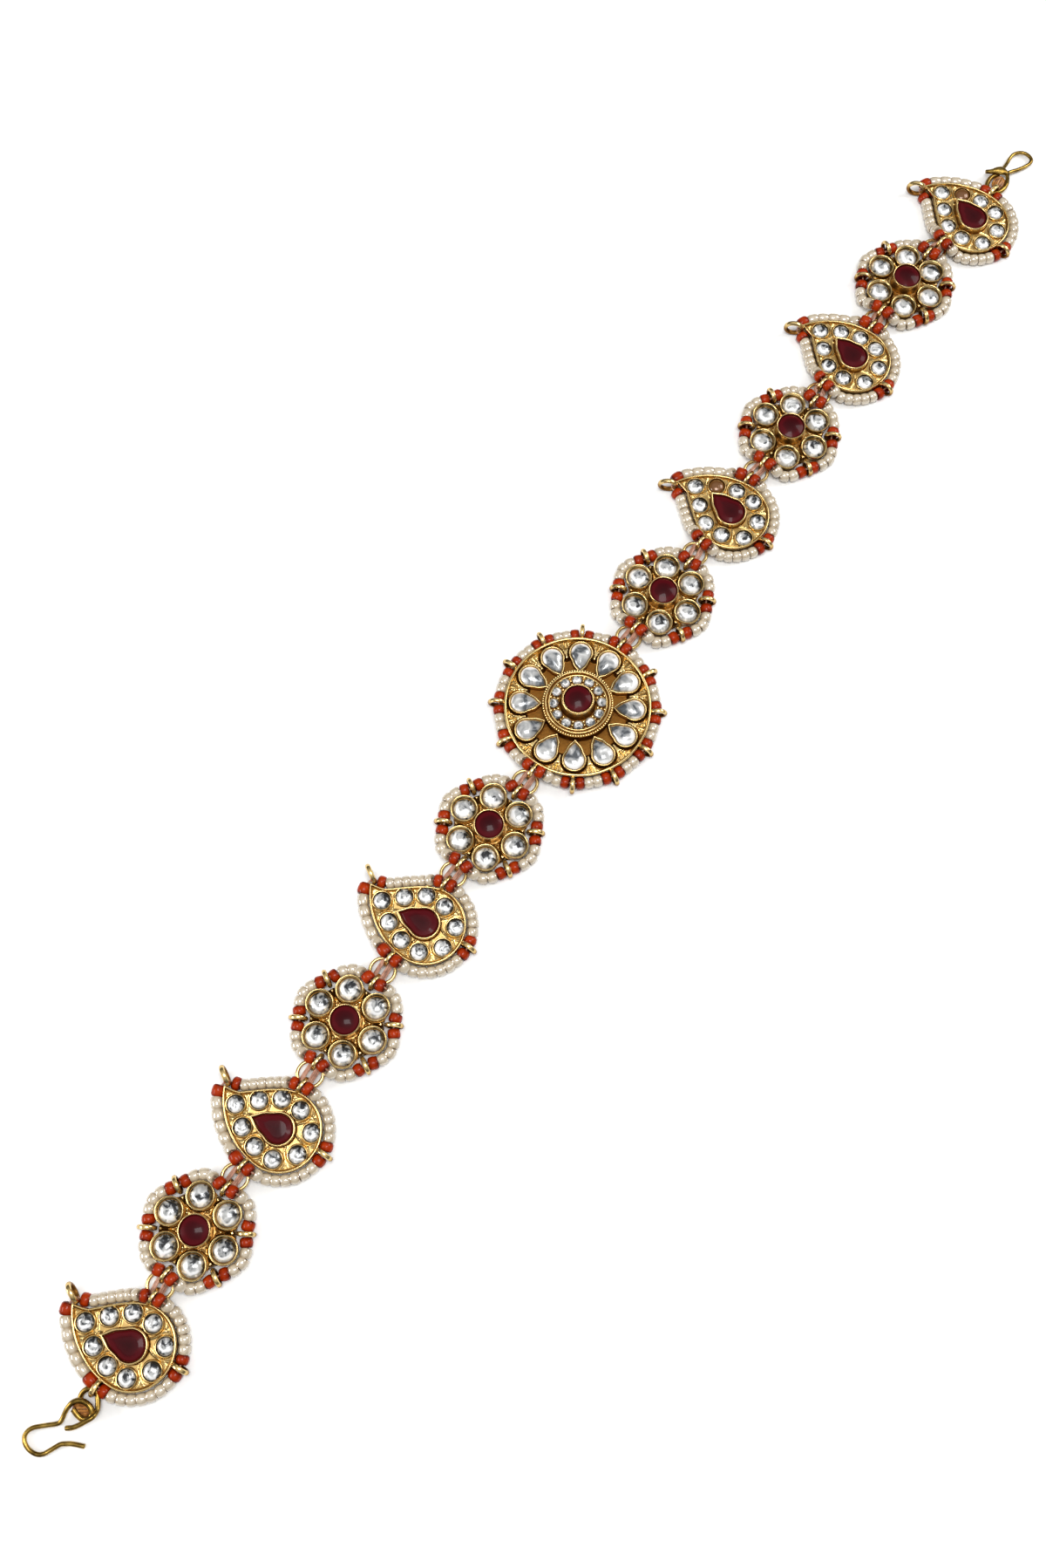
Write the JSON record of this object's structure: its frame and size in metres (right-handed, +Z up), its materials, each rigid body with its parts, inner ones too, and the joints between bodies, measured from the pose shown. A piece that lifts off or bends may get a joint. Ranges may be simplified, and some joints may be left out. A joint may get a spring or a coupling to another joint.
{
  "type": "matha patti",
  "caption": "Straight head chain of gilt round, flower and paisley plates set with red and clear stones, edged with seed beads and joined by jump rings, with a wire hook at each end.",
  "frame": {"origin": "under the middle of the whole part's box, on the surface it lies on", "axes": "+X along the chain from the near hook to the far hook, +Y to the side of the paisley tips, +Z up from the plates' backs"},
  "size_m": [0.3242, 0.034, 0.007],
  "materials": {
    "gilt_metal": "bright gilt over cast copper alloy, browned in the hollows",
    "hook_wire": "drawn gilt wire, worn to a dull olive brown",
    "pearl_bead": "glossy cream ceylon seed beads",
    "red_bead": "glossy translucent orange red seed beads",
    "ruby_glass": "polished deep red glass over dark foil",
    "clear_stone": "polished clear glass over silver foil",
    "thread": "pinkish clear nylon beading thread"
  },
  "bodies": {
    "root": {"far_hook": "hook_wire", "flower_1": "gilt_metal", "flower_1_bead_string": "pearl_bead", "flower_1_ruby": "ruby_glass", "flower_2": "gilt_metal", "flower_2_bead_string": "pearl_bead", "flower_2_ruby": "ruby_glass", "flower_3": "gilt_metal", "flower_3_bead_string": "pearl_bead", "flower_3_ruby": "ruby_glass", "flower_4": "gilt_metal", "flower_4_bead_string": "pearl_bead", "flower_4_ruby": "ruby_glass", "flower_5": "gilt_metal", "flower_5_bead_string": "pearl_bead", "flower_5_ruby": "ruby_glass", "flower_6": "gilt_metal", "flower_6_bead_string": "pearl_bead", "flower_6_ruby": "ruby_glass", "jump_ring_1": "gilt_metal", "jump_ring_10": "gilt_metal", "jump_ring_11": "gilt_metal", "jump_ring_12": "gilt_metal", "jump_ring_2": "gilt_metal", "jump_ring_3": "gilt_metal", "jump_ring_4": "gilt_metal", "jump_ring_5": "gilt_metal", "jump_ring_6": "gilt_metal", "jump_ring_7": "gilt_metal", "jump_ring_8": "gilt_metal", "jump_ring_9": "gilt_metal", "medallion": "gilt_metal", "medallion_bead_string": "pearl_bead", "medallion_ruby": "ruby_glass", "near_end_ring": "hook_wire", "near_hook": "hook_wire", "paisley_1": "gilt_metal", "paisley_1_bead_string": "pearl_bead", "paisley_1_ruby": "ruby_glass", "paisley_2": "gilt_metal", "paisley_2_bead_string": "pearl_bead", "paisley_2_ruby": "ruby_glass", "paisley_3": "gilt_metal", "paisley_3_bead_string": "pearl_bead", "paisley_3_ruby": "ruby_glass", "paisley_4": "gilt_metal", "paisley_4_bead_string": "pearl_bead", "paisley_4_ruby": "ruby_glass", "paisley_5": "gilt_metal", "paisley_5_bead_string": "pearl_bead", "paisley_5_ruby": "ruby_glass", "paisley_6": "gilt_metal", "paisley_6_bead_string": "pearl_bead", "paisley_6_ruby": "ruby_glass"}
  },
  "joints": []
}
